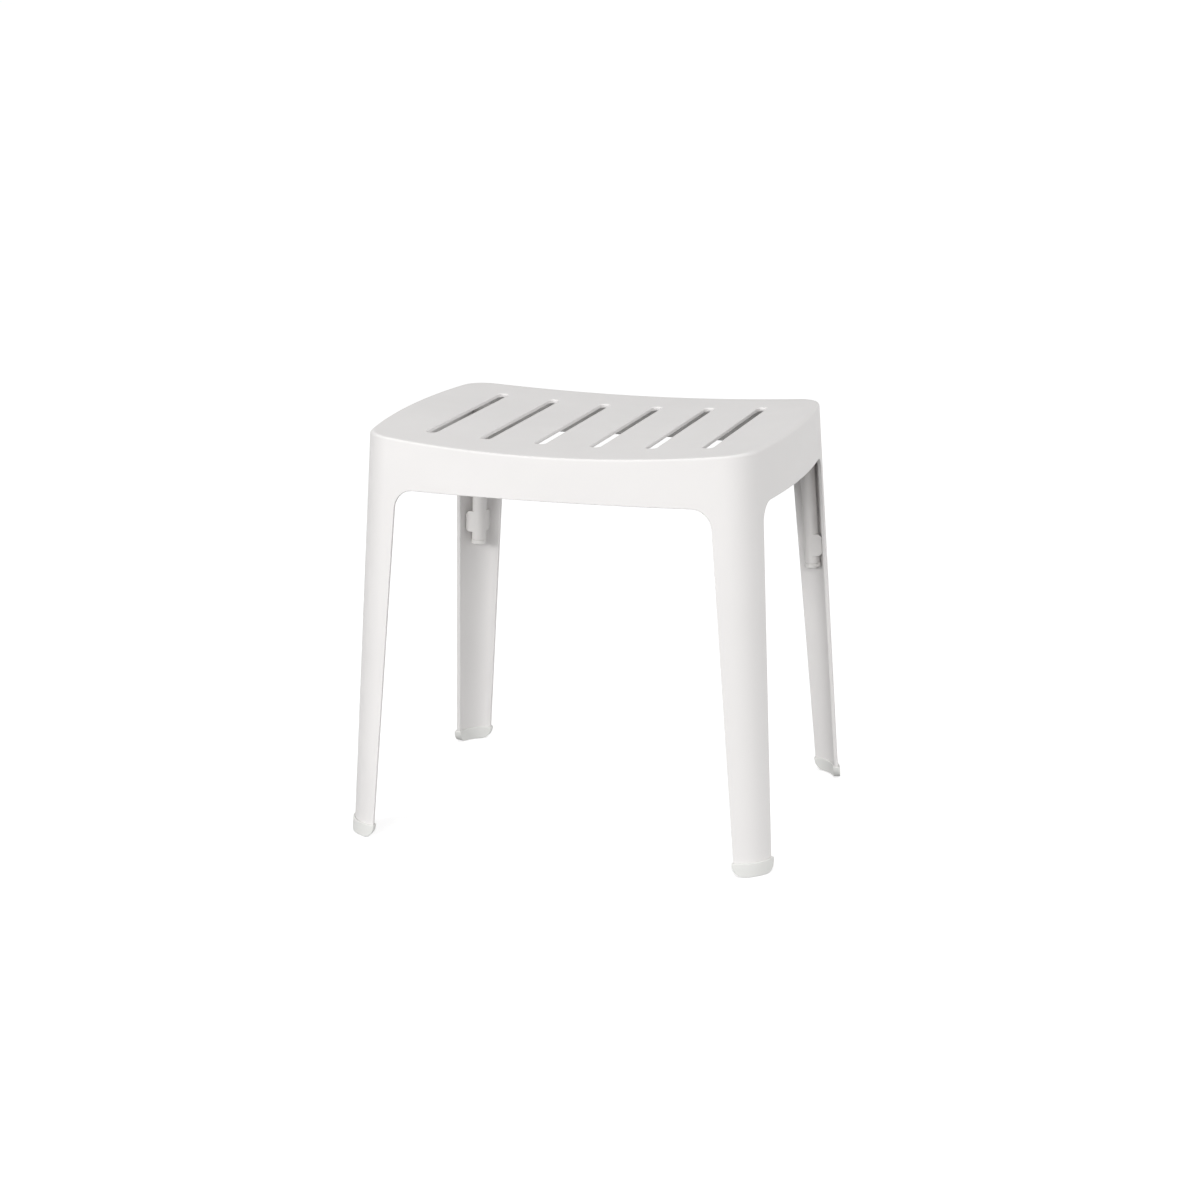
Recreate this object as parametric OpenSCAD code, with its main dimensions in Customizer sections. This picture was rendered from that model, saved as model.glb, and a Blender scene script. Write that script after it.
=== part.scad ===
// Shower stool: a one-piece moulded seat shell on four splayed, tapering legs.
// Each leg is an open corner channel that holds a stiffening post with an end
// plug, and stands in a soft foot cap.
// X runs along the wide side, Y from front to rear, Z up. The origin is on the
// floor, under the middle of the seat.

/* [Seat] */
// Width over the bowed sides at seat level
seat_w = 400; // [340:1:480]
// Depth over the bowed front and rear at seat level
seat_d = 322; // [270:1:390]
// Height of the seat's corners above the floor
seat_h = 400; // [330:1:480]
// How far the middle of each side bows out beyond its corners
side_bow = 13; // [5:0.5:18]
// How far the middle of the front and rear bows out beyond its corners
front_bow = 15.5; // [5:0.5:20]
// Depth of the saddle, from the corners to the middle of the seat
seat_sag = 10; // [4:0.5:14]
// Radius of the upright corners, seen from above
corner_r = 24; // [20:0.5:30]
// Height of the apron under the seat's edge
apron_h = 52; // [40:1:65]
// Thickness of the seat panel
panel_t = 4; // [3:0.5:5]
// Thickness of the apron and of the legs
wall_t = 4; // [3:0.5:5]
// Radius of the rounding along the seat's edge
edge_r = 3; // [2:0.5:4]

/* [Drain slots] */
// Number of slots side by side
slot_count = 6; // [3:1:7]
// Distance from the outermost slots' centre lines to the seat's corners
slot_side_margin = 49.5; // [45:0.5:65]
// Distance from the slots' ends to the seat's corners
slot_end_margin = 40.5; // [35:0.5:60]
// Width of a slot
slot_w = 10.5; // [6:0.5:14]

/* [Legs] */
// How far a leg leans out sideways over its height
lean_side = 22.5; // [10:0.5:30]
// How far a leg leans out to the front or rear over its height
lean_front = 18; // [8:0.5:26]
// Width of a leg's front or rear arm just under the apron
front_arm_top = 35; // [31:0.5:45]
// Width of a leg's front or rear arm at the floor
front_arm_foot = 26; // [22:0.5:30]
// Width of a leg's side arm just under the apron
side_arm_top = 34.5; // [31:0.5:45]
// Width of a leg's side arm at the floor
side_arm_foot = 24.5; // [22:0.5:30]
// Radius where a leg's arm runs into the apron
arch_r = 20; // [12:1:26]
// Radius of the lower corner of a leg's arm
arm_end_r = 11; // [8:0.5:13]

/* [Posts] */
// Outer radius of a stiffening post
post_r = 7.5; // [6:0.25:9]
// Wall thickness of a post
post_wall = 1.5; // [1.2:0.1:2]
// Gap between a post's plug and the leg's round inner corner
post_clear = 0.5; // [0.3:0.1:2]
// Height of a post and its plug together
post_h = 167; // [110:1:190]
// Height of the webs that key a post to the leg
web_h = 22.5; // [16:0.5:32]
// Thickness of the webs
web_t = 2; // [1.5:0.25:3]
// Distance from the plug's lower face up to the webs
web_rise = 13.5; // [10:0.5:24]
// Bevel at the webs' outer corners
web_bevel = 3; // [1:0.5:4]
// Depth of the socket that holds a post's upper end
socket_depth = 14; // [8:1:20]
// Wall thickness of that socket
socket_wall = 2.2; // [1.6:0.1:2.8]

/* [End plugs] */
// Thickness of a plug's flange
flange_t = 5; // [3:0.5:7]
// How far the flange stands out beyond the post
flange_lip = 0.4; // [0.2:0.1:0.6]
// Length of the plug's stem inside the post
stem_len = 12; // [6:1:20]
// Bevel round the lower rim of the flange
flange_bevel = 1; // [0.5:0.25:2]

/* [Foot caps] */
// Height of a foot cap
cap_h = 13.5; // [12:0.5:20]
// Thickness of a cap outside the leg
cap_outer_t = 2; // [1.5:0.25:3]
// Thickness of a cap inside the leg
cap_inner_t = 1.5; // [1:0.25:2]
// Thickness of a cap past the edge of an arm
cap_edge_t = 1.2; // [1:0.1:2]
// Thickness of a cap's sole
sole_t = 2.5; // [2:0.25:4]

/* [Fits] */
// Clearance between one piece and the next
fit_gap = 0.1; // [0.05:0.05:0.25]
// Clearance between a post's upper end and the seat panel
post_top_clear = 1.5; // [1.2:0.1:3]

/* [Hidden] */
$fn = 64;
CORNERS = ["front_left", "front_right", "rear_left", "rear_right"];

SHELL_COLOUR = [0.93, 0.93, 0.92];
POST_COLOUR = [0.88, 0.88, 0.87];
PLUG_COLOUR = [0.85, 0.85, 0.84];
CAP_COLOUR = [0.80, 0.80, 0.79];

// Steps along one quarter of the outline: half a side, a corner, half the front
SIDE_STEPS = 6;
CORNER_STEPS = 8;
FRONT_STEPS = 8;
QUARTER_STEPS = SIDE_STEPS + CORNER_STEPS + FRONT_STEPS;
EDGE_STEPS = 3;
ARC_STEPS = 8;
CUT = 1;              // how far a cutting shape runs past what it cuts
FAR = 400;            // longer than any cut through the stool

corner_x = seat_w / 2 - side_bow;
corner_y = seat_d / 2 - front_bow;
arch_z = seat_h - apron_h;
leg_foot_z = sole_t + fit_gap;
stem_r = post_r - post_wall - fit_gap;

// ---- The outline -----------------------------------------------------------
// Each side is a flat parabola from corner to corner, and each upright corner
// is a conic arc that leaves both parabolas along their tangents. `inset` moves
// the whole outline inwards, and the legs' lean moves it outwards lower down.

function half_x(z) = corner_x + lean_side * (1 - z / seat_h);
function half_y(z) = corner_y + lean_front * (1 - z / seat_h);
function side_x(z, y) = half_x(z) + side_bow * (1 - pow(y / half_y(z), 2));
function front_y(z, x) = half_y(z) + front_bow * (1 - pow(x / half_x(z), 2));

// Where the tangents of the side and the front meet, outside the round corner
function tangent_meeting(start, end, side_slope, front_slope) =
    let (t = (end.y - start.y + front_slope * (start.x - end.x)) / (1 - front_slope * side_slope))
    [start.x + side_slope * t, start.y + t];

function conic(start, apex, end, t) =
    let (a = pow(1 - t, 2), b = 2 * t * (1 - t) * cos(45), c = t * t)
    (a * start + b * apex + c * end) / (a + b + c);

function corner_point(z, inset, t) =
    let (
        y0 = half_y(z) - corner_r,
        x0 = half_x(z) - corner_r,
        start = [side_x(z, y0) - inset, y0],
        end = [x0, front_y(z, x0) - inset],
        side_slope = -2 * side_bow * y0 / pow(half_y(z), 2),
        front_slope = -2 * front_bow * x0 / pow(half_x(z), 2)
    )
    conic(start, tangent_meeting(start, end, side_slope, front_slope), end, t);

// Point i of the quarter outline, from the middle of the side to that of the rear
function quarter_point(i, z, inset) =
    i < SIDE_STEPS
        ? let (y = (half_y(z) - corner_r) * i / SIDE_STEPS) [side_x(z, y) - inset, y]
        : i <= SIDE_STEPS + CORNER_STEPS
            ? corner_point(z, inset, (i - SIDE_STEPS) / CORNER_STEPS)
            : let (x = (half_x(z) - corner_r) * (QUARTER_STEPS - i) / FRONT_STEPS)
                [x, front_y(z, x) - inset];

// Point i of the rear half of the outline, from the right side to the left
function half_point(i, z, inset) =
    i <= QUARTER_STEPS
        ? quarter_point(i, z, inset)
        : let (p = quarter_point(2 * QUARTER_STEPS - i, z, inset)) [-p.x, p.y];

// The seat's height: a saddle that is curved from side to side and straight from
// front to rear
function seat_z(x) = seat_h - seat_sag * (1 - pow(x / corner_x, 2));

// ---- Solids between outlines -----------------------------------------------
// A level is [z, inset, saddle]: a flat outline at height z, or, where saddle is
// true, an outline z below the seat's surface.

function level_point(i, level) =
    let (
        flat = half_point(i, seat_h, level[1]),
        z = level[2] ? seat_z(flat.x) - level[0] : level[0],
        p = half_point(i, z, level[1])
    )
    [p.x, p.y, z];

function mirrored_y(points) = [for (p = points) [p.x, -p.y, p.z]];

// A closed solid through a stack of levels, lowest first
module outline_solid(levels) {
    half = 2 * QUARTER_STEPS + 1;
    row = 2 * half;
    rear = [for (level = levels) [for (i = [0 : half - 1]) level_point(i, level)]];
    points = [for (h = rear) each concat(h, mirrored_y(h))];
    top = (len(levels) - 1) * row;
    walls = [
        for (k = [0 : len(levels) - 2], i = [1 : half - 1])
            let (a = k * row + i, b = a - 1, c = a + row, d = b + row)
                each [[a, b, c], [c, b, d], [a + half, c + half, b + half], [c + half, d + half, b + half]]
    ];
    lids = [
        for (i = [1 : half - 1])
            let (a = i, b = i - 1, c = top + a, d = top + b)
                each [[a, b + half, b], [a, a + half, b + half], [c, d, d + half], [c, d + half, c + half]]
    ];
    // The two rows share their end points, so the solid is welded there
    function weld(i) = let (j = i % row) j == half || j == row - 1 ? i - half : i;
    function welded(face) = [for (i = face) weld(i)];
    function whole(face) = face[0] != face[1] && face[1] != face[2] && face[2] != face[0];
    polyhedron(points, [for (f = concat(walls, lids)) let (w = welded(f)) if (whole(w)) w], convexity = 4);
}

// The corner stretch of the wall, between two insets and two heights
module corner_wall(outer_inset, inner_inset, low, high) {
    first = SIDE_STEPS - 2;
    last = SIDE_STEPS + CORNER_STEPS + 2;
    count = last - first + 1;
    points = [
        for (z = [low, high], inset = [outer_inset, inner_inset], i = [first : last])
            let (p = quarter_point(i, z, inset)) [p.x, p.y, z]
    ];
    // Four rows of points: low outer, low inner, high outer, high inner
    function strip(a, b, i) = [[a + i, b + i, b + i + 1], [a + i, b + i + 1, a + i + 1]];
    function end(i, turned) =
        let (q = [i, i + count, i + 3 * count, i + 2 * count])
        turned ? [[q[0], q[1], q[2]], [q[0], q[2], q[3]]] : [[q[0], q[2], q[1]], [q[0], q[3], q[2]]];
    faces = [
        for (i = [0 : count - 2])
            each concat(
                strip(0, 2 * count, i), strip(3 * count, count, i),
                strip(count, 0, i), strip(2 * count, 3 * count, i)
            )
    ];
    polyhedron(points, concat(faces, end(0, true), end(count - 1, false)), convexity = 4);
}

// ---- Openings between the legs ---------------------------------------------

function arc(centre, r, from, to) =
    [for (k = [0 : ARC_STEPS]) centre + r * [cos(from + (to - from) * k / ARC_STEPS),
                                             sin(from + (to - from) * k / ARC_STEPS)]];

function arm_width(z, foot, top) = foot + (top - foot) * z / arch_z;
function front_edge(z) = half_x(z) - arm_width(z, front_arm_foot, front_arm_top);
function side_edge(z) = half_y(z) - arm_width(z, side_arm_foot, side_arm_top);

// Right half of an opening's outline. Its edge runs from `foot` out at the floor
// to `top` under the apron, with the lower corner of the arm rounded below it.
function opening_half(foot, top, end_z, end_r) =
    let (
        lean = atan((foot - top) / arch_z),
        edge = function (z) foot + (top - foot) * z / arch_z,
        reach = arch_r / tan((90 + lean) / 2)
    )
    concat(
        [[edge(0) + end_r, -CUT]],
        arc([edge(end_z + end_r) + end_r, end_z + end_r], end_r, 270, 180),
        arc([top - reach, arch_z - arch_r], arch_r, lean, 90)
    );

module opening(foot, top, end_z, end_r) {
    half = opening_half(foot, top, end_z, end_r);
    count = len(half);
    rotate([90, 0, 0])
        linear_extrude(2 * FAR, center = true)
            polygon(concat(half, [for (k = [1 : count]) [-half[count - k].x, half[count - k].y]]));
}

// Both openings. `past` leaves the arms longer by that much, down to end_z.
module leg_openings(past, end_z, end_r) {
    opening(front_edge(0) - past, front_edge(arch_z) - past, end_z, end_r);
    rotate([0, 0, 90])
        opening(side_edge(0) - past, side_edge(arch_z) - past, end_z, end_r);
}

// ---- Places ----------------------------------------------------------------

// Axis of the rear right post at height z: the post stands in the leg's inner
// corner, with its plug's flange clear of the wall
function post_axis(z) =
    let (
        wall = corner_point(z, wall_t, 0.5),
        away = (post_r + flange_lip + post_clear) * [cos(45), sin(45)]
    )
    [wall.x - away.x, wall.y - away.y, z];

// The post's upper end stays clear of the seat panel all round
post_top_z = seat_z(post_axis(seat_h).x) - panel_t - post_top_clear;
post_end_z = post_top_z - post_h;
web_z = post_end_z + web_rise;
post_rise = post_axis(post_top_z) - post_axis(post_end_z);
turn_y = atan(post_rise.x / post_rise.z);
turn_x = -atan(post_rise.y * cos(turn_y) / post_rise.z);
axis_stretch = norm(post_rise) / post_rise.z;

// Puts children on the rear right post's axis, with their z = 0 at height z
module on_post_axis(z) {
    translate(post_axis(z))
        rotate([turn_x, turn_y, 0])
            children();
}

// Moves what is built at the rear right corner to a named corner
module at_corner(corner) {
    mirror([corner == "front_left" || corner == "rear_left" ? 1 : 0, 0, 0])
        mirror([0, corner == "front_left" || corner == "front_right" ? 1 : 0, 0])
            children();
}

// ---- Pieces ----------------------------------------------------------------

module shell_body() {
    rounding = [
        for (k = [0 : EDGE_STEPS])
            let (a = 90 * k / EDGE_STEPS) [edge_r * (1 - sin(a)), edge_r * (1 - cos(a)), true]
    ];
    difference() {
        outline_solid(concat([[leg_foot_z, 0, false], [arch_z, 0, false]], rounding));
        outline_solid([[leg_foot_z - CUT, wall_t, false], [panel_t, wall_t, true]]);
    }
}

module drain_slots() {
    outermost_x = corner_x - slot_side_margin;
    pitch = 2 * outermost_x / (slot_count - 1);
    straight = 2 * (corner_y - slot_end_margin) - slot_w;
    for (k = [0 : slot_count - 1])
        translate([k * pitch - outermost_x, 0, arch_z])
            linear_extrude(apron_h + seat_sag + CUT)
                union() {
                    square([slot_w, straight], center = true);
                    for (end = [-1, 1])
                        translate([0, end * straight / 2])
                            circle(d = slot_w);
                }
}

module post_socket() {
    on_post_axis(post_top_z - socket_depth)
        difference() {
            cylinder(r = post_r + fit_gap + socket_wall, h = socket_depth + panel_t);
            translate([0, 0, -CUT])
                cylinder(r = post_r + fit_gap, h = socket_depth + CUT + fit_gap);
        }
}

module seat_shell() {
    color(SHELL_COLOUR)
        union() {
            difference() {
                shell_body();
                leg_openings(0, leg_foot_z, arm_end_r);
                drain_slots();
            }
            for (corner = CORNERS)
                at_corner(corner)
                    post_socket();
        }
}

// A web in the x-z plane, from the post's axis out to `reach`
module web(reach) {
    rotate([90, 0, 0])
        linear_extrude(web_t)
            polygon([
                [0, 0], [reach - web_bevel, 0], [reach, web_bevel],
                [reach, web_h - web_bevel], [reach - web_bevel, web_h], [0, web_h]
            ]);
}

// A tube with two webs that lie along its inner faces and meet the leg's walls
module post(corner) {
    tube_z = post_end_z + flange_t;
    mid_z = web_z + web_h / 2;
    axis = post_axis(mid_z);
    side_reach = side_x(mid_z, axis.y) - wall_t - fit_gap - axis.x;
    rear_reach = front_y(mid_z, axis.x) - wall_t - fit_gap - axis.y;
    color(POST_COLOUR)
        at_corner(corner)
            difference() {
                union() {
                    on_post_axis(tube_z)
                        cylinder(r = post_r, h = (post_top_z - tube_z) * axis_stretch);
                    on_post_axis(web_z) {
                        translate([0, web_t - post_r, 0])
                            web(side_reach);
                        translate([-post_r, 0, 0])
                            rotate([0, 0, 90])
                                web(rear_reach);
                    }
                }
                on_post_axis(tube_z - CUT)
                    cylinder(r = post_r - post_wall, h = (post_top_z - tube_z) * axis_stretch + 2 * CUT);
            }
}

module end_plug(corner) {
    flange_r = post_r + flange_lip;
    color(PLUG_COLOUR)
        at_corner(corner)
            on_post_axis(post_end_z)
                rotate_extrude()
                    polygon([
                        [0, 0], [flange_r - flange_bevel, 0], [flange_r, flange_bevel],
                        [flange_r, flange_t - fit_gap], [stem_r, flange_t - fit_gap],
                        [stem_r, flange_t + stem_len], [0, flange_t + stem_len]
                    ]);
}

module foot_cap(corner) {
    color(CAP_COLOUR)
        at_corner(corner)
            difference() {
                corner_wall(-cap_outer_t, wall_t + cap_inner_t, -CUT, cap_h);
                translate([-FAR, -FAR, -FAR])
                    cube([2 * FAR, 2 * FAR, FAR]);
                leg_openings(cap_edge_t, 0, arm_end_r + cap_edge_t);
                difference() {
                    corner_wall(-fit_gap, wall_t + fit_gap, sole_t, cap_h + CUT);
                    leg_openings(fit_gap, sole_t, arm_end_r);
                }
            }
}

seat_shell();
post("front_left");  // post_front_left
post("front_right");  // post_front_right
post("rear_left");  // post_rear_left
post("rear_right");  // post_rear_right
end_plug("front_left");  // end_plug_front_left
end_plug("front_right");  // end_plug_front_right
end_plug("rear_left");  // end_plug_rear_left
end_plug("rear_right");  // end_plug_rear_right
foot_cap("front_left");  // foot_cap_front_left
foot_cap("front_right");  // foot_cap_front_right
foot_cap("rear_left");  // foot_cap_rear_left
foot_cap("rear_right");  // foot_cap_rear_right
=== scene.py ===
"""Shower stool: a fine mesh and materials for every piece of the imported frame.

All shapes are worked out in millimetres in the CAD's frame and written in metres.
Each piece is built at the rear right corner, or as the rear right quarter, and
mirrored to the others. Outlines on the walls are (s, z) points, where s runs
along the wall and z is the height.
"""

import math

import bmesh
import bpy
from mathutils import Matrix, Vector
from mathutils.geometry import delaunay_2d_cdt


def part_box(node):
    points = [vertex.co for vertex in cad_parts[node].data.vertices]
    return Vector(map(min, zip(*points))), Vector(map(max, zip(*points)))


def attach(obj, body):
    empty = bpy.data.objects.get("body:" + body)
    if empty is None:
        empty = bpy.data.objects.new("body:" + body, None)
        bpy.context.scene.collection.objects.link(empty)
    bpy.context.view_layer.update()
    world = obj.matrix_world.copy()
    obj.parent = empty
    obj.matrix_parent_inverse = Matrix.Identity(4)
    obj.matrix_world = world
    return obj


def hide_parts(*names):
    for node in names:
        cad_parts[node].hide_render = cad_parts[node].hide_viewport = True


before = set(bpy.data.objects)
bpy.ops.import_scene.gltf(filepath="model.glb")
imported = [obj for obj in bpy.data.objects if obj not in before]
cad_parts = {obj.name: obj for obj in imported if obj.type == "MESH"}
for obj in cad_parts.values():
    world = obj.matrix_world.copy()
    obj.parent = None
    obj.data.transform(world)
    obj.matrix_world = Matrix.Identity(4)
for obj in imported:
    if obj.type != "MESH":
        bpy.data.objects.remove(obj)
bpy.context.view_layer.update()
MM = 0.001

# ---- Sizes, in millimetres ---------------------------------------------------

SEAT_H = 400.0
LEAN_X, LEAN_Y = 22.5, 18.0
BOW_X, BOW_Y = 13.0, 15.5
CORNER_X, CORNER_Y = 187.0, 145.5
CORNER_R = 24.0
SAG = 10.0
PANEL_T = WALL_T = 4.0
ARCH_Z = 348.0
ARCH_R, ARM_END_R = 20.0, 11.0
FRONT_ARM = (26.0, 35.0)
SIDE_ARM = (24.5, 34.5)
SLOT_X = (27.5, 82.5, 137.5)
SLOT_W, SLOT_END_Y = 10.5, 99.75
CAP_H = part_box("foot_cap_rear_right")[1].z / MM
SOLE_T, CAP_OUT, CAP_IN, CAP_EDGE = 2.5, 2.0, 1.5, 1.2
LEG_FOOT_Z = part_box("seat_shell")[0].z / MM
POST_R, POST_WALL = 7.5, 1.5
POST_TOP_CLEAR, POST_H = 1.5, 167.0
WEB_RISE, WEB_H, WEB_T, WEB_BEVEL = 13.5, 22.5, 2.0, 3.0
FLANGE_T, FLANGE_LIP, STEM_LEN = 5.0, 0.4, 12.0
SOCKET_DEPTH, SOCKET_WALL = 14.0, 2.2
FIT = 0.1

# Rounded edges of the visible meshes
RIM_R, INNER_R = 0.9, 1.6
EDGE_R_SIDE, EDGE_R_FRONT = 4.2, 2.0
SLOT_RIM_R, SLOT_UNDER_R = 1.2, 0.5
CAP_RIM_R, MOUTH_STEP, MOUTH_DEPTH = 0.7, 0.4, 1.1

# Sizes of the meshes' triangles
WALL_STEP, SEAT_STEP_X, SEAT_STEP_Y = 8.6, 6.2, 7.3

CORNERS = {
    "front_left": (-1, -1),
    "front_right": (1, -1),
    "rear_left": (-1, 1),
    "rear_right": (1, 1),
}


# ---- The outline ---------------------------------------------------------------


def half_x(z):
    return CORNER_X + LEAN_X * (1 - z / SEAT_H)


def half_y(z):
    return CORNER_Y + LEAN_Y * (1 - z / SEAT_H)


def wall_point(s, z, inset):
    """The wall at height z. s runs from the middle of the side (0) through the
    round corner (1 to 2) to the middle of the rear (3)."""
    hx, hy = half_x(z), half_y(z)
    x0, y0 = hx - CORNER_R, hy - CORNER_R
    if s <= 1:
        y = y0 * s
        return Vector((hx + BOW_X * (1 - (y / hy) ** 2) - inset, y, z))
    if s >= 2:
        x = x0 * (3 - s)
        return Vector((x, hy + BOW_Y * (1 - (x / hx) ** 2) - inset, z))
    start = Vector((hx + BOW_X * (1 - (y0 / hy) ** 2) - inset, y0))
    end = Vector((x0, hy + BOW_Y * (1 - (x0 / hx) ** 2) - inset))
    ms = -2 * BOW_X * y0 / hy**2
    mf = -2 * BOW_Y * x0 / hx**2
    k = (end.y - start.y + mf * (start.x - end.x)) / (1 - mf * ms)
    apex = Vector((start.x + ms * k, start.y + k))
    t = s - 1
    a, b, c = (1 - t) ** 2, math.sqrt(2) * t * (1 - t), t * t
    p = (a * start + b * apex + c * end) / (a + b + c)
    return Vector((p.x, p.y, z))


def seat_z(x):
    return SEAT_H - SAG * (1 - (x / CORNER_X) ** 2)


def rim_point(s, inset, depth):
    """A point of the outline that lies `depth` under the saddle's surface."""
    z = SEAT_H
    for _ in range(6):
        p = wall_point(s, z, inset)
        z = seat_z(p.x) - depth
    return wall_point(s, z, inset)


def solve(value, want, low, high):
    """The argument between low and high where a monotonic function is `want`."""
    rising = value(high) > value(low)
    for _ in range(44):
        mid = (low + high) / 2
        if (value(mid) < want) == rising:
            low = mid
        else:
            high = mid
    return (low + high) / 2


def s_at_x(x, z):
    x0 = half_x(z) - CORNER_R
    return 3 - x / x0 if x <= x0 else solve(lambda s: wall_point(s, z, 0).x, x, 1, 2)


def s_at_y(y, z):
    y0 = half_y(z) - CORNER_R
    return y / y0 if y <= y0 else solve(lambda s: wall_point(s, z, 0).y, y, 1, 2)


# Distance along the wall for each s, for even triangles
S_TABLE = [3 * i / 300 for i in range(301)]
U_TABLE = [0.0]
for before, after in zip(S_TABLE, S_TABLE[1:]):
    U_TABLE.append(U_TABLE[-1] + (wall_point(after, 250, 0) - wall_point(before, 250, 0)).length)


def interpolate(x, xs, ys):
    lo, hi = 0, len(xs) - 1
    while hi - lo > 1:
        mid = (lo + hi) // 2
        lo, hi = (mid, hi) if xs[mid] <= x else (lo, mid)
    return ys[lo] + (ys[hi] - ys[lo]) * (x - xs[lo]) / (xs[hi] - xs[lo])


def u_of(s):
    return interpolate(s, S_TABLE, U_TABLE)


def s_of(u):
    return interpolate(u, U_TABLE, S_TABLE)


# ---- Edges of the openings -------------------------------------------------------


def arm_edge(hand, past=0.0):
    """The free edge of a leg's rear arm (hand "x") or side arm (hand "y"), moved
    `past` outwards from the arm: its distance from the middle at a height, its
    distance at the arch, and its lean."""
    half, arm = (half_x, FRONT_ARM) if hand == "x" else (half_y, SIDE_ARM)
    foot = half(0) - arm[0] - past
    top = half(ARCH_Z) - arm[1] - past

    def line(z):
        return foot + (top - foot) * z / ARCH_Z

    return line, top, math.atan((foot - top) / ARCH_Z)


def opening_edge(hand, e, foot_z, end_r, steps=10):
    """The edge of the rear opening (hand "x") or the side opening (hand "y"), moved
    e into the leg, as (distance from the middle, height) from the middle down to
    where the arm's rounded end meets the floor line."""
    line, top, lean = arm_edge(hand)
    reach = ARCH_R / math.tan((math.pi / 2 + lean) / 2)
    cx, cz = top - reach, ARCH_Z - ARCH_R
    points = []
    count = int(cx // 6)
    for i in range(count):
        points.append((cx * i / count, ARCH_Z + e))
    for i in range(steps + 1):
        a = math.pi / 2 - (math.pi / 2 - lean) * i / steps
        points.append((cx + (ARCH_R + e) * math.cos(a), cz + (ARCH_R + e) * math.sin(a)))
    end_z = foot_z + end_r
    ex = line(end_z) + end_r / math.cos(lean)
    start = points[-1]
    a = math.pi + lean
    finish = (ex + (end_r - e) * math.cos(a), end_z + (end_r - e) * math.sin(a))
    rows = 30
    for i in range(1, rows):
        t = i / rows
        x = start[0] + (finish[0] - start[0]) * t
        z = start[1] + (finish[1] - start[1]) * t
        points.append((x, z))
    for i in range(steps + 1):
        a = math.pi + lean + (math.pi / 2 - lean) * i / steps
        points.append((ex + (end_r - e) * math.cos(a), end_z + (end_r - e) * math.sin(a)))
    return points


def leg_edge(e, foot_z, end_r):
    """The whole lower edge of a quarter, as (s, z): rear middle, down the rear arm,
    round the foot, up the side arm, side middle."""
    rear = [(s_at_x(x, z), z) for x, z in opening_edge("x", e, foot_z, end_r)]
    side = [(s_at_y(y, z), z) for y, z in opening_edge("y", e, foot_z, end_r)]
    a, b = rear[-1], side[-1]
    foot = []
    for i in range(1, 12):
        t = i / 12
        foot.append((a[0] + (b[0] - a[0]) * t, a[1] + (b[1] - a[1]) * t))
    return rear + foot + side[::-1]


# ---- Mesh helpers ------------------------------------------------------------------


class Soup:
    """Vertices and faces in millimetres, welded when it becomes a mesh."""

    def __init__(self):
        self.points = []
        self.faces = []

    def add(self, points):
        first = len(self.points)
        self.points.extend(Vector(p) for p in points)
        return list(range(first, len(self.points)))

    def strip(self, a, b, closed=False):
        """Quads between two rows of vertex numbers."""
        n = len(a)
        for i in range(n if closed else n - 1):
            j = (i + 1) % n
            self.faces.append((a[i], a[j], b[j], b[i]))

    def fill(self, loop, place, inner, loop_points):
        """Triangles inside a loop of 2D points and on the 2D points `inner`."""
        coords = [Vector(p) for p in loop] + [Vector(p) for p in inner]
        n = len(loop)
        edges = [(i, (i + 1) % n) for i in range(n)]
        out, _, tris, orig, _, _ = delaunay_2d_cdt(coords, edges, [], 0, 1e-6, True)
        numbers = []
        for k, p in enumerate(out):
            source = [i for i in orig[k] if i < n]
            numbers.append(self.add([loop_points[source[0]] if source else place(p)])[0])
        outline = [(p[0], p[1]) for p in loop]
        for t in tris:
            centre = sum((out[i] for i in t), Vector((0, 0))) / 3
            if inside(centre, outline):
                self.faces.append(tuple(numbers[i] for i in t))

    def mirrored(self, sx, sy):
        out = Soup()
        out.points = [Vector((p.x * sx, p.y * sy, p.z)) for p in self.points]
        out.faces = [f if sx * sy > 0 else tuple(reversed(f)) for f in self.faces]
        return out

    def join(self, other):
        k = len(self.points)
        self.points.extend(other.points)
        self.faces.extend(tuple(i + k for i in f) for f in other.faces)

    def mesh(self, name, weld=1e-6):
        bm = bmesh.new()
        verts = [bm.verts.new(p * MM) for p in self.points]
        for f in self.faces:
            if len(set(f)) == len(f):
                try:
                    bm.faces.new([verts[i] for i in f])
                except ValueError:
                    pass
        bmesh.ops.remove_doubles(bm, verts=bm.verts, dist=weld)
        bmesh.ops.dissolve_degenerate(bm, dist=1e-7, edges=bm.edges)
        bmesh.ops.delete(bm, geom=[v for v in bm.verts if not v.link_faces], context="VERTS")
        bmesh.ops.recalc_face_normals(bm, faces=bm.faces)
        me = bpy.data.meshes.new(name)
        bm.to_mesh(me)
        bm.free()
        return me


def inside(point, loop):
    x, y = point
    hit = False
    for i in range(len(loop)):
        (x1, y1), (x2, y2) = loop[i - 1], loop[i]
        if (y1 > y) != (y2 > y) and x < (x2 - x1) * (y - y1) / (y2 - y1) + x1:
            hit = not hit
    return hit


def clear_of(point, loop, distance):
    """True if a 2D point is inside a loop and at least `distance` from its edges."""
    if not inside(point, loop):
        return False
    p = Vector(point)
    for i in range(len(loop)):
        a, b = Vector(loop[i - 1]), Vector(loop[i])
        d = b - a
        t = max(0, min(1, (p - a).dot(d) / max(d.length_squared, 1e-9)))
        if (a + d * t - p).length < distance:
            return False
    return True


def arc_profile(r, t, steps, r2=None):
    """(distance from the edge, depth) round an edge t thick, from its outer face to
    its inner face, with both corners rounded."""
    r2 = r if r2 is None else r2
    out = []
    for i in range(steps + 1):
        a = math.pi / 2 * i / steps
        out.append((r * (1 - math.sin(a)), r * (1 - math.cos(a))))
    for i in range(steps + 1):
        a = math.pi / 2 * i / steps
        out.append((r2 * (1 - math.cos(a)), t - r2 + r2 * math.sin(a)))
    return out


# ---- The seat shell -----------------------------------------------------------------

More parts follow.
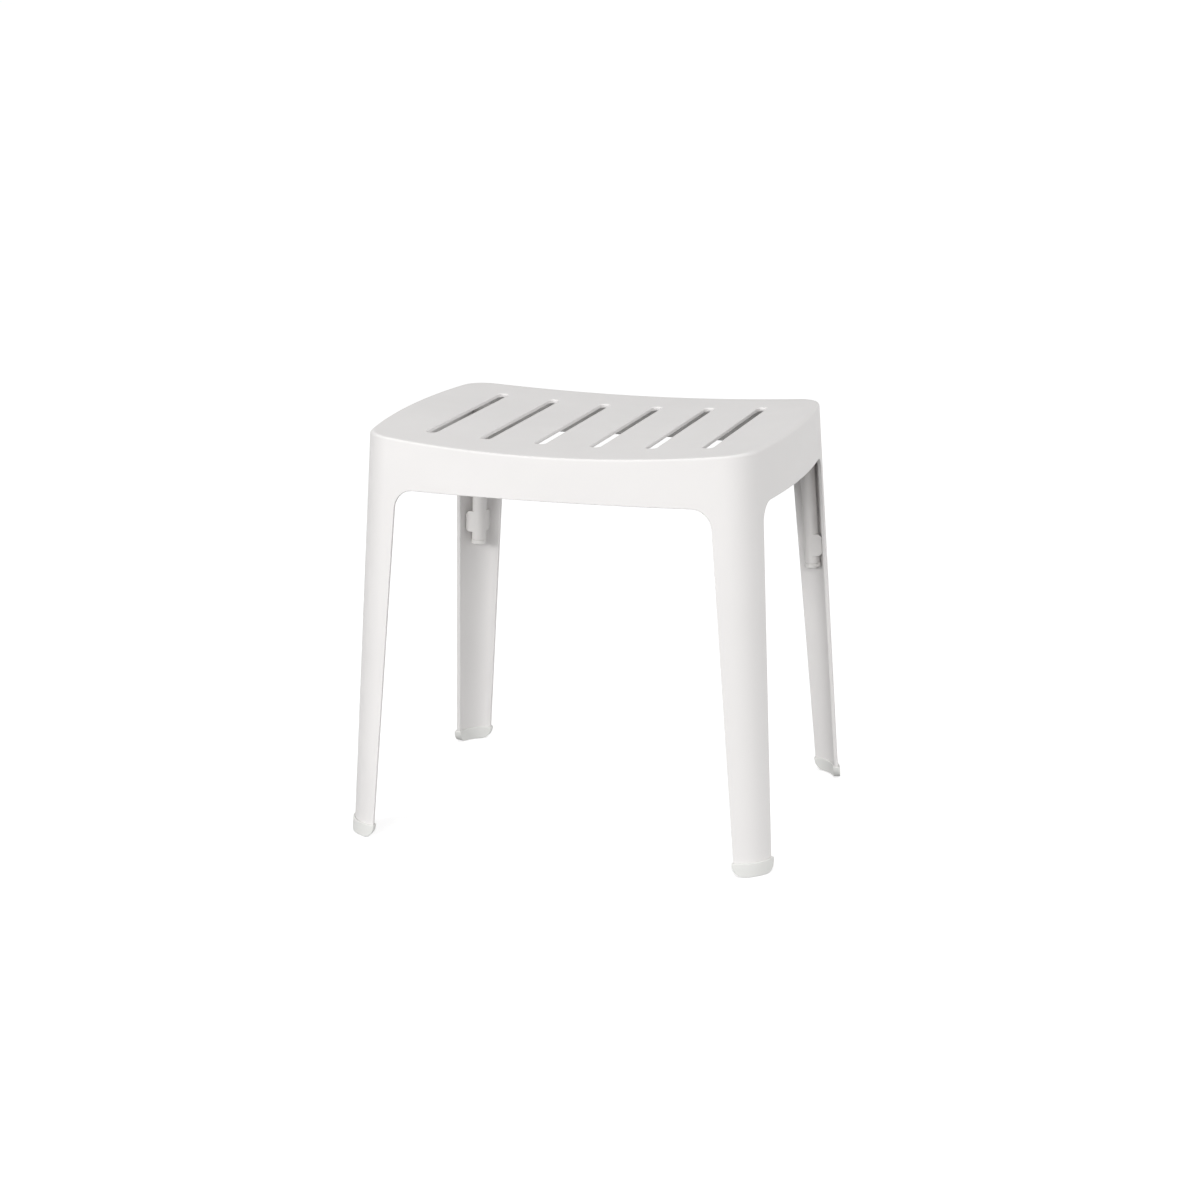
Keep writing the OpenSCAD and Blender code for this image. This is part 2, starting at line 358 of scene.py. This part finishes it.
# Values of s for the columns of points along the side, round the corner and along the rear
COLUMNS = [i / 24 for i in range(24)] + [1 + i / 14 for i in range(14)] + [2 + i / 32 for i in range(33)]


def smooth(t):
    t = max(0.0, min(1.0, t))
    return t * t * (3 - 2 * t)


def edge_radius(s):
    """The seat's edge is crisp at the front and rear, and softer at the sides."""
    return EDGE_R_SIDE + (EDGE_R_FRONT - EDGE_R_SIDE) * smooth(s - 1)


def build_wall(soup, rim_loop, depth, top_row):
    """The wall's face at `depth`, between its lower rim and the row of points under
    the seat's edge. rim_loop is (s, z) points; top_row is 3D points, one a column."""
    top = [(s, p.z) for s, p in zip(COLUMNS, top_row)]
    low_side, low_rear = rim_loop[-1][1], rim_loop[0][1]
    side_column = [(0.0, low_side + (top[0][1] - low_side) * i / 4) for i in range(1, 4)]
    rear_column = [(3.0, top[-1][1] + (low_rear - top[-1][1]) * i / 4) for i in range(1, 4)]
    loop = list(rim_loop) + side_column + top + rear_column
    flat = [(u_of(s), z) for s, z in loop]
    inner = []
    for row in range(47):
        for s in COLUMNS:
            p = (u_of(s), 4 + row * WALL_STEP)
            if clear_of(p, flat, 2.2):
                inner.append(p)
    points = [wall_point(s, z, depth) for s, z in rim_loop + side_column] + list(top_row)
    points += [wall_point(s, z, depth) for s, z in rear_column]
    soup.fill(flat, lambda p: wall_point(s_of(p.x), p.y, depth), inner, points)


def slot_edge(x, e, steps=8):
    """Edge of a slot's rear half, moved e into the panel, from its left side over
    its round end to its right side."""
    r = SLOT_W / 2 + e
    left = [(x - r, SLOT_END_Y * i / 16) for i in range(16)]
    end = []
    for i in range(steps * 2 + 1):
        a = math.pi - math.pi * i / (steps * 2)
        end.append((x + r * math.cos(a), SLOT_END_Y + r * math.sin(a)))
    right = [(x + r, SLOT_END_Y * i / 16) for i in range(15, -1, -1)]
    return left + end + right


def build_panel(soup, edge_points, e, depth):
    """The seat's upper or lower face, from the row of points inside its edge."""
    loop = [(p.x, p.y) for p in edge_points]
    points = list(edge_points)

    def place(p):
        return Vector((p[0], p[1], seat_z(p[0]) - depth))

    y_end = loop[-1][1]
    for i in range(1, 16):
        loop.append((0.0, y_end * (1 - i / 16)))
    y_line = [(0.0, 0.0)]
    x = 0.0
    for sx in SLOT_X:
        y_line += [(x + (sx - SLOT_W / 2 - e - x) * i / 4, 0.0) for i in range(1, 4)]
        y_line += slot_edge(sx, e)
        x = sx + SLOT_W / 2 + e
    y_line += [(x + (loop[0][0] - x) * i / 6, 0.0) for i in range(1, 6)]
    loop += y_line
    points += [place(p) for p in loop[len(points):]]
    inner = []
    for i in range(1, 32):
        for j in range(1, 22):
            p = (i * SEAT_STEP_X, j * SEAT_STEP_Y)
            if clear_of(p, loop, 2.4):
                inner.append(p)
    soup.fill(loop, place, inner, points)


def seat_shell():
    quarter = Soup()
    # Lower rim of the apron and the legs
    rows = []
    for e, h in arc_profile(RIM_R, WALL_T, 4):
        loop = leg_edge(e, LEG_FOOT_Z, ARM_END_R)
        rows.append(quarter.add([wall_point(s, z, h) for s, z in loop]))
    for a, b in zip(rows, rows[1:]):
        quarter.strip(a, b)
    # Rounded edge between the walls and the seat, outside and inside
    steps = 7
    outer, inner = [], []
    for i in range(steps + 1):
        a = math.pi / 2 * i / steps
        bend, drop = 1 - math.sin(a), 1 - math.cos(a)
        outer.append([rim_point(s, edge_radius(s) * bend, edge_radius(s) * drop) for s in COLUMNS])
        inner.append([rim_point(s, WALL_T + INNER_R * bend, PANEL_T + INNER_R * drop) for s in COLUMNS])
    for grid in (outer, inner):
        numbers = [quarter.add(row) for row in grid]
        for a, b in zip(numbers, numbers[1:]):
            quarter.strip(a, b)
    # Walls
    low = leg_edge(RIM_R, LEG_FOOT_Z, ARM_END_R)
    build_wall(quarter, low, 0, outer[-1])
    build_wall(quarter, low, WALL_T, inner[-1])
    # Slots
    for x in SLOT_X:
        rows = []
        for e, h in arc_profile(SLOT_RIM_R, PANEL_T, 5, SLOT_UNDER_R):
            rows.append(quarter.add([(px, py, seat_z(px) - h) for px, py in slot_edge(x, e)]))
        for a, b in zip(rows, rows[1:]):
            quarter.strip(a, b)
    build_panel(quarter, outer[0], SLOT_RIM_R, 0)
    build_panel(quarter, inner[0], SLOT_UNDER_R, PANEL_T)
    whole = Soup()
    for sx, sy in CORNERS.values():
        whole.join(quarter.mirrored(sx, sy))
    return whole.mesh("shell_mesh", 2e-6)


def checked(me):
    """Stops on a mesh that isn't closed."""
    bm = bmesh.new()
    bm.from_mesh(me)
    open_edges = sum(len(e.link_faces) != 2 for e in bm.edges)
    bm.free()
    if open_edges:
        raise ValueError(f"{me.name} has {open_edges} open edges")
    return me


# ---- Posts, plugs and sockets --------------------------------------------------------


def post_axis(z):
    wall = wall_point(1.5, z, WALL_T)
    away = (POST_R + FLANGE_LIP + 0.5) * math.cos(math.pi / 4)
    return Vector((wall.x - away, wall.y - away, z))


POST_TOP_Z = seat_z(post_axis(SEAT_H).x) - PANEL_T - POST_TOP_CLEAR
POST_END_Z = POST_TOP_Z - POST_H
AXIS = (post_axis(POST_TOP_Z) - post_axis(POST_END_Z)).normalized()
TURN_Y = math.atan2(AXIS.x, AXIS.z)
TURN_X = -math.atan2(AXIS.y * math.cos(TURN_Y), AXIS.z)


def on_axis(z):
    """Matrix that puts a shape on the rear right post's axis at height z."""
    turn = Matrix.Rotation(TURN_Y, 4, "Y") @ Matrix.Rotation(TURN_X, 4, "X")
    return Matrix.Translation(post_axis(z)) @ turn


def lathe(profile, segments=64):
    """A closed solid turned about z from (radius, height) points."""
    soup = Soup()
    turns = [2 * math.pi * i / segments for i in range(segments)]
    rings = []
    for r, z in profile:
        if r < 1e-6:
            rings.append(soup.add([(0, 0, z)]) * segments)
        else:
            rings.append(soup.add([(r * math.cos(a), r * math.sin(a), z) for a in turns]))
    for a, b in zip(rings, rings[1:]):
        for i in range(segments):
            j = (i + 1) % segments
            face = (a[i], a[j], b[j], b[i])
            unique = tuple(dict.fromkeys(face))
            if len(unique) > 2:
                soup.faces.append(unique)
    return soup


def rounded(points, steps=4):
    """A (radius, height) profile from (radius, height, rounding) points."""
    out = []
    n = len(points)
    for i, (x, y, rounding) in enumerate(points):
        if not rounding:
            out.append((x, y))
            continue
        p, a, b = Vector((x, y)), Vector(points[i - 1][:2]), Vector(points[(i + 1) % n][:2])
        da, db = (a - p).normalized(), (b - p).normalized()
        cut = min(rounding, (a - p).length * 0.45, (b - p).length * 0.45)
        for k in range(steps + 1):
            t = k / steps
            q = (p + da * cut) * (1 - t) ** 2 + p * 2 * t * (1 - t) + (p + db * cut) * t**2
            out.append((q.x, q.y))
    return out


def moved(soup, matrix):
    out = Soup()
    out.points = [matrix @ p for p in soup.points]
    out.faces = list(soup.faces)
    return out


def plate(outline, thickness, bevel=0.35):
    """A flat plate in x-z with small bevels all round, from y = -thickness to 0."""
    soup = Soup()
    n = len(outline)

    def shrunk(d):
        out = []
        for i in range(n):
            p, a, b = Vector(outline[i]), Vector(outline[i - 1]), Vector(outline[(i + 1) % n])
            ea, eb = (p - a).normalized(), (b - p).normalized()
            na, nb = Vector((-ea.y, ea.x)), Vector((-eb.y, eb.x))
            out.append(p + (na + nb) * (d / max(0.2, 1 + na.dot(nb))))
        return out

    rows = []
    for i in range(4):
        a = math.pi / 2 * i / 3
        rows.append((bevel * (1 - math.sin(a)), -bevel * (1 - math.cos(a))))
    rows += [(e, -thickness - y) for e, y in rows[::-1]]
    rings = [soup.add([(q.x, y, q.y) for q in shrunk(e)]) for e, y in rows]
    for a, b in zip(rings, rings[1:]):
        soup.strip(a, b, True)
    soup.faces.append(tuple(rings[0]))
    soup.faces.append(tuple(reversed(rings[-1])))
    return soup


def as_object(name, me):
    ob = bpy.data.objects.new(name, me)
    bpy.context.scene.collection.objects.link(ob)
    return ob


def combined(me, others, operation):
    """A mesh joined with, or cut by, others."""
    ob = as_object("work", me)
    helpers = []
    for other in others:
        helper = as_object("helper", other)
        helpers.append(helper)
        step = ob.modifiers.new("step", "BOOLEAN")
        step.operation, step.solver, step.object = operation, "EXACT", helper
    bpy.context.view_layer.update()
    evaluated = ob.evaluated_get(bpy.context.evaluated_depsgraph_get())
    made = bpy.data.meshes.new_from_object(evaluated)
    for o in [ob] + helpers:
        bpy.data.objects.remove(o)
    return made


def post_mesh():
    """The tube with its two webs, and its bore cut last so that no web shows in it."""
    tube_z = POST_END_Z + FLANGE_T
    length = (POST_TOP_Z - tube_z) / AXIS.z
    bore_r = POST_R - POST_WALL
    profile = rounded([(bore_r, 0, 0.3), (POST_R, 0, 0.5), (POST_R, length, 0.5), (bore_r, length, 0.3)])
    tube = lathe(profile + profile[:1])
    web_z = POST_END_Z + WEB_RISE
    mid = post_axis(web_z + WEB_H / 2)
    hx, hy = half_x(mid.z), half_y(mid.z)
    side_reach = hx + BOW_X * (1 - (mid.y / hy) ** 2) - WALL_T - FIT - mid.x
    rear_reach = hy + BOW_Y * (1 - (mid.x / hx) ** 2) - WALL_T - FIT - mid.y
    to_side = Matrix.Translation((0, WEB_T - POST_R, 0))
    to_rear = Matrix.Translation((-POST_R, 0, 0)) @ Matrix.Rotation(math.pi / 2, 4, "Z")
    webs = []
    for reach, turn in ((side_reach, to_side), (rear_reach, to_rear)):
        outline = [
            (0, 0),
            (reach - WEB_BEVEL, 0),
            (reach, WEB_BEVEL),
            (reach, WEB_H - WEB_BEVEL),
            (reach - WEB_BEVEL, WEB_H),
            (0, WEB_H),
        ]
        webs.append(moved(plate(outline, WEB_T), on_axis(web_z) @ turn).mesh("web"))
    body = moved(tube, on_axis(tube_z)).mesh("tube")
    bore = lathe([(0, 5), (bore_r, 5), (bore_r, length - 5), (0, length - 5)])
    solid = combined(body, webs, "UNION")
    return combined(solid, [moved(bore, on_axis(tube_z)).mesh("bore")], "DIFFERENCE")


def plug_mesh():
    """A flange with a small dimple in its end, and a stem inside the tube."""
    r = POST_R + FLANGE_LIP
    stem = POST_R - POST_WALL - FIT
    top = FLANGE_T + STEM_LEN
    profile = rounded(
        [
            (0, 0.5, 0),
            (2.2, 0.5, 0.3),
            (2.9, 0, 0.3),
            (r - 1, 0, 0.5),
            (r, 1, 0.5),
            (r, FLANGE_T - FIT, 0.35),
            (stem, FLANGE_T - FIT, 0),
            (stem, top - 1, 0.5),
            (stem - 1, top, 0.5),
            (0, top, 0),
        ]
    )
    return moved(lathe(profile), on_axis(POST_END_Z)).mesh("plug")


def socket_mesh():
    """The ring under the seat that holds a post's upper end, flared where it meets
    the seat's underside."""
    r0, r1 = POST_R + FIT, POST_R + FIT + SOCKET_WALL
    h = SOCKET_DEPTH
    profile = rounded(
        [
            (r0, h + FIT, 0),
            (r0, 0, 0.6),
            (r1, 0, 0.6),
            (r1, h - 1.2, 2.0),
            (r1 + 1.6, h + 2.2, 0),
            (0, h + PANEL_T * 0.6, 0),
            (0, h + FIT, 0),
        ]
    )
    return moved(lathe(profile + profile[:1]), on_axis(POST_TOP_Z - h)).mesh("socket")


# ---- Foot caps ------------------------------------------------------------------------


def cap_loop(past, low_z, high_z, end_r, e, corner):
    """Outline in (s, z) of the leg's foot, `past` wider than the leg at both free
    edges and moved e inwards. The upper corners are rounded by `corner`."""
    sides = []
    for hand, s_at in (("x", s_at_x), ("y", s_at_y)):
        line, _, lean = arm_edge(hand, past)
        part = []
        c = max(corner, e + 0.01)
        zc = high_z - c
        xc = line(zc) + c / math.cos(lean)
        for i in range(5):
            a = math.pi / 2 + (math.pi / 2 + lean) * i / 4
            part.append((xc + (c - e) * math.cos(a), zc + (c - e) * math.sin(a)))
        zc = low_z + end_r
        xc = line(zc) + end_r / math.cos(lean)
        for i in range(13):
            a = math.pi + lean + (math.pi / 2 - lean) * i / 12
            part.append((xc + (end_r - e) * math.cos(a), zc + (end_r - e) * math.sin(a)))
        sides.append([(s_at(x, z), z) for x, z in part])
    rear, side = sides
    a, b = rear[-1], side[-1]
    foot = [(a[0] + (b[0] - a[0]) * i / 14, a[1]) for i in range(1, 14)]
    a, b = side[0], rear[0]
    upper = [(a[0] + (b[0] - a[0]) * i / 20, a[1]) for i in range(1, 20)]
    return rear + foot + side[::-1] + upper


def sheet_solid(loop_at, h0, h1, r):
    """A closed solid between depths h0 and h1 under the wall's face, with its edges
    rounded by r. loop_at gives its outline moved inwards by a distance."""
    soup = Soup()
    profile = [(e, h + h0) for e, h in arc_profile(r, h1 - h0, 3)] if r > 0 else [(0, h0), (0, h1)]
    loops = [(e, h, loop_at(e)) for e, h in profile]
    rows = [soup.add([wall_point(s, z, h) for s, z in loop]) for e, h, loop in loops]
    for a, b in zip(rows, rows[1:]):
        soup.strip(a, b, True)
    for _, h, loop in (loops[0], loops[-1]):
        flat = [(u_of(s), z) for s, z in loop]
        inner = []
        for z in (3.4, 6.8, 10.2):
            for k in range(31):
                p = (u_of(0.85 + 1.3 * k / 30), z)
                if clear_of(p, flat, 1.0):
                    inner.append(p)
        edge = [wall_point(s, z, h) for s, z in loop]
        soup.fill(flat, lambda p, h=h: wall_point(s_of(p.x), p.y, h), inner, edge)
    return soup


def cap_mesh():
    """A solid foot, less the leg's end and a shallow step round the cap's mouth, which
    shows as a thin dark line round the leg."""
    outer = sheet_solid(
        lambda e: cap_loop(CAP_EDGE, 0.0, CAP_H, ARM_END_R + CAP_EDGE, e, 1.0),
        -CAP_OUT,
        WALL_T + CAP_IN,
        CAP_RIM_R,
    )
    cavity = sheet_solid(
        lambda e: cap_loop(FIT, SOLE_T, CAP_H + 6, ARM_END_R, e, 0.02),
        -FIT,
        WALL_T + FIT,
        0,
    )
    gap = FIT + MOUTH_STEP
    mouth = sheet_solid(
        lambda e: cap_loop(gap, CAP_H - MOUTH_DEPTH, CAP_H + 5, 0.5, e, 0.02),
        -gap,
        WALL_T + gap,
        0,
    )
    return combined(outer.mesh("cap"), [cavity.mesh("cavity"), mouth.mesh("mouth")], "DIFFERENCE")


# ---- Materials -------------------------------------------------------------------------


def moulded(name, colour, roughness, grain):
    """Matte moulded plastic: slow tone drift, fine texture, soft worn edges."""
    mat = bpy.data.materials.new(name)
    mat.use_nodes = True
    nt = mat.node_tree
    nodes, links = nt.nodes, nt.links
    bsdf = nodes["Principled BSDF"]
    bsdf.inputs["Specular IOR Level"].default_value = 0.4
    coords = nodes.new("ShaderNodeTexCoord")

    def noise(scale, detail, rough=0.5):
        n = nodes.new("ShaderNodeTexNoise")
        n.inputs["Scale"].default_value = scale
        n.inputs["Detail"].default_value = detail
        n.inputs["Roughness"].default_value = rough
        links.new(coords.outputs["Object"], n.inputs["Vector"])
        return n.outputs["Fac"]

    def ramp(source, low, high, a, b):
        n = nodes.new("ShaderNodeMapRange")
        n.inputs["From Min"].default_value = low
        n.inputs["From Max"].default_value = high
        n.inputs["To Min"].default_value = a
        n.inputs["To Max"].default_value = b
        links.new(source, n.inputs["Value"])
        return n.outputs["Result"]

    tone = nodes.new("ShaderNodeMix")
    tone.data_type = "RGBA"
    tone.inputs["A"].default_value = (*(c * 0.965 for c in colour), 1)
    tone.inputs["B"].default_value = (*colour, 1)
    links.new(ramp(noise(7.0, 3.0), 0.3, 0.7, 0.0, 1.0), tone.inputs["Factor"])
    worn = nodes.new("ShaderNodeMix")
    worn.data_type = "RGBA"
    edge = nodes.new("ShaderNodeAttribute")
    edge.attribute_name = "wear"
    scuff = nodes.new("ShaderNodeMath")
    scuff.operation = "MULTIPLY"
    links.new(edge.outputs["Fac"], scuff.inputs[0])
    links.new(ramp(noise(160.0, 4.0, 0.6), 0.35, 0.7, 0.2, 1.0), scuff.inputs[1])
    links.new(scuff.outputs[0], worn.inputs["Factor"])
    links.new(tone.outputs["Result"], worn.inputs["A"])
    worn.inputs["B"].default_value = (*(min(1.0, c * 1.04) for c in colour), 1)
    links.new(worn.outputs["Result"], bsdf.inputs["Base Color"])

    rough = nodes.new("ShaderNodeMath")
    rough.operation = "SUBTRACT"
    uneven = ramp(noise(38.0, 4.0), 0.3, 0.7, roughness - 0.05, roughness + 0.05)
    links.new(uneven, rough.inputs[0])
    links.new(ramp(scuff.outputs[0], 0.0, 1.0, 0.0, 0.1), rough.inputs[1])
    links.new(rough.outputs[0], bsdf.inputs["Roughness"])

    fine = nodes.new("ShaderNodeBump")
    fine.inputs["Strength"].default_value = grain
    fine.inputs["Distance"].default_value = 0.00012
    links.new(noise(1900.0, 2.0), fine.inputs["Height"])
    slow = nodes.new("ShaderNodeBump")
    slow.inputs["Strength"].default_value = 0.35
    slow.inputs["Distance"].default_value = 0.0004
    links.new(noise(26.0, 1.0), slow.inputs["Height"])
    links.new(slow.outputs["Normal"], fine.inputs["Normal"])
    links.new(fine.outputs["Normal"], bsdf.inputs["Normal"])
    return mat


SHELL = moulded("shell_plastic", (0.82, 0.803, 0.793), 0.52, 0.5)
POST = moulded("post_plastic", (0.79, 0.772, 0.757), 0.5, 0.4)
PLUG = moulded("plug_plastic", (0.80, 0.785, 0.765), 0.45, 0.35)
CAP = moulded("cap_rubber", (0.785, 0.785, 0.762), 0.45, 0.3)


def finish_mesh(me):
    """Smooth shading with sharp edges kept, and a wear value at each vertex: 0 on flat
    faces and up to 1 on tight convex edges."""
    bm = bmesh.new()
    bm.from_mesh(me)
    wear = [0.0] * len(bm.verts)
    bm.verts.index_update()
    for e in bm.edges:
        if not e.is_convex:
            continue
        a, b = e.link_faces
        bend = e.calc_face_angle(0)
        gap = (a.calc_center_median() - b.calc_center_median()).length
        k = min(1.0, max(0.0, (bend / max(gap, 1e-5) - 120) / 500))
        for v in e.verts:
            wear[v.index] = max(wear[v.index], k)
    bm.free()
    attribute = me.attributes.new("wear", "FLOAT", "POINT")
    attribute.data.foreach_set("value", wear)
    me.shade_smooth()
    me.set_sharp_from_angle(angle=math.radians(34))


def piece(name, me, material, slot, node):
    """A visible piece that takes the place of one CAD node."""
    finish_mesh(me)
    me.materials.clear()
    me.materials.append(material)
    ob = as_object(name, me)
    normal = ob.modifiers.new("normals", "WEIGHTED_NORMAL")
    normal.keep_sharp = True
    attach(ob, "root")
    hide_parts(node)


def mirrored_mesh(me, sx, sy, name):
    copy = me.copy()
    copy.name = name
    copy.transform(Matrix.Diagonal((sx, sy, 1, 1)))
    if sx * sy < 0:
        copy.flip_normals()
    return copy


# ---- Assembly ---------------------------------------------------------------------------

shell, socket = checked(seat_shell()), checked(socket_mesh())
sockets = [mirrored_mesh(socket, *side, "socket_" + corner) for corner, side in CORNERS.items()]
shell = checked(combined(shell, sockets, "UNION"))
piece("stool_shell", shell, SHELL, "shell_plastic", "seat_shell")

# Name, CAD node, mesh, material and slot of what each corner has
FITTINGS = (
    ("post", "post", checked(post_mesh()), POST, "post_plastic"),
    ("plug", "end_plug", checked(plug_mesh()), PLUG, "plug_plastic"),
    ("cap", "foot_cap", checked(cap_mesh()), CAP, "cap_rubber"),
)
for corner, side in CORNERS.items():
    for name, node, me, material, slot in FITTINGS:
        copy = mirrored_mesh(me, *side, f"{name}_{corner}")
        piece(f"stool_{name}_{corner}", copy, material, slot, f"{node}_{corner}")

# ---- Stage --------------------------------------------------------------------------------


def plain(name, colour, glow):
    """Plain matte white that is only there from its front."""
    mat = bpy.data.materials.new(name)
    mat.use_nodes = True
    nt = mat.node_tree
    bsdf = nt.nodes["Principled BSDF"]
    bsdf.inputs["Base Color"].default_value = (colour, colour, colour, 1)
    bsdf.inputs["Roughness"].default_value = 0.9
    bsdf.inputs["Specular IOR Level"].default_value = 0.1
    bsdf.inputs["Emission Color"].default_value = (1, 1, 1, 1)
    bsdf.inputs["Emission Strength"].default_value = glow
    side = nt.nodes.new("ShaderNodeNewGeometry")
    clear = nt.nodes.new("ShaderNodeBsdfTransparent")
    mix = nt.nodes.new("ShaderNodeMixShader")
    nt.links.new(side.outputs["Backfacing"], mix.inputs["Fac"])
    nt.links.new(bsdf.outputs[0], mix.inputs[1])
    nt.links.new(clear.outputs[0], mix.inputs[2])
    nt.links.new(mix.outputs[0], nt.nodes["Material Output"].inputs["Surface"])
    return mat


def stage():
    """A pale floor, and a white wall far behind it. Neither sends diffuse light to the
    stool: the light that a floor sends up is part of the studio world."""
    reach, wall_r, drop = 30000, 25000, 0.3
    floor, wall = Soup(), Soup()
    corners = [(-reach, -reach), (reach, -reach), (reach, reach), (-reach, reach)]
    floor.faces.append(tuple(floor.add([(x, y, -drop) for x, y in corners])))
    turns = [2 * math.pi * i / 96 for i in range(96)]
    circle = [(wall_r * math.cos(a), wall_r * math.sin(a)) for a in turns]
    low, high = (wall.add([(x, y, z) for x, y in circle]) for z in (-wall_r, wall_r))
    wall.strip(high, low, True)
    for soup, mat in ((floor, plain("pale_floor", 0.93, 0.42)), (wall, plain("backdrop", 0.0, 1.0))):
        me = soup.mesh(mat.name)
        me.flip_normals()
        me.materials.append(mat)
        ob = as_object(mat.name, me)
        ob.visible_diffuse = ob.visible_shadow = False


def studio_world(lobes):
    """Soft light from all round, with a white backdrop in the camera's eyes. A lobe is
    (axis, side, brightness), and fades to nothing at a right angle to its axis."""
    world = bpy.data.worlds.new("studio")
    world.use_nodes = True
    nt = world.node_tree
    coords = nt.nodes.new("ShaderNodeTexCoord")
    split = nt.nodes.new("ShaderNodeSeparateXYZ")
    nt.links.new(coords.outputs["Generated"], split.inputs[0])
    total = None
    for axis, side, value in lobes:
        lobe = nt.nodes.new("ShaderNodeMapRange")
        lobe.inputs["From Max"].default_value = side
        lobe.inputs["To Max"].default_value = value
        nt.links.new(split.outputs[axis], lobe.inputs["Value"])
        if total is None:
            total = lobe.outputs["Result"]
        else:
            add = nt.nodes.new("ShaderNodeMath")
            nt.links.new(total, add.inputs[0])
            nt.links.new(lobe.outputs["Result"], add.inputs[1])
            total = add.outputs[0]
    seen = nt.nodes.new("ShaderNodeLightPath")
    shown = nt.nodes.new("ShaderNodeMath")
    shown.operation = "MAXIMUM"
    nt.links.new(total, shown.inputs[0])
    nt.links.new(seen.outputs["Is Camera Ray"], shown.inputs[1])
    nt.links.new(shown.outputs[0], nt.nodes["Background"].inputs["Color"])
    bpy.context.scene.world = world


def soft_light(name, position, power):
    """A round soft light that faces the stool's middle."""
    data = bpy.data.lights.new(name, "AREA")
    data.shape = "DISK"
    data.size = 1.6
    data.energy = power
    ob = bpy.data.objects.new(name, data)
    bpy.context.scene.collection.objects.link(ob)
    ob.location = position
    ob.rotation_mode = "QUATERNION"
    ob.rotation_quaternion = (Vector((0, 0, 0.25)) - Vector(position)).to_track_quat("-Z", "Y")


scene = bpy.context.scene
scene.view_settings.view_transform = "Standard"
stage()
studio_world([("X", 1, 0.66), ("Y", 1, 0.23), ("Z", 1, 0.65)])
soft_light("key_left", (-1.9, -3.2, 1.3), 64)
soft_light("key_front", (-0.4, -3.6, 1.2), 26)
soft_light("key_right", (1.4, -3.4, 1.4), 31)

# ---- Camera ---------------------------------------------------------------------------------

TARGET, DISTANCE = Vector((0, 0, 0.23)), 2.598
SENSOR, FOCAL_RATIO = 36, 2.17303


def turned(a, b, degrees):
    """Two perpendicular directions turned in their own plane, a towards b."""
    t = math.radians(degrees)
    return a * math.cos(t) + b * math.sin(t), b * math.cos(t) - a * math.sin(t)


azimuth, elevation = math.radians(18.142), math.radians(14.586)
flat = math.cos(elevation)
away = Vector((math.sin(azimuth) * flat, -math.cos(azimuth) * flat, math.sin(elevation)))
ahead = -away
right = ahead.cross(Vector((0, 0, 1))).normalized()
up = right.cross(ahead)
ahead, right = turned(ahead, right, -0.0198)
ahead, up = turned(ahead, up, -0.3861)
right, up = turned(right, up, -0.4301)
camera = bpy.data.cameras.new("camera")
camera.sensor_width = SENSOR
camera.lens = FOCAL_RATIO * SENSOR
camera.clip_end = 200
eye = bpy.data.objects.new("camera", camera)
scene.collection.objects.link(eye)
turn = Matrix((right, up, -ahead)).transposed().to_4x4()
eye.matrix_world = Matrix.Translation(TARGET + away * DISTANCE) @ turn
scene.camera = eye
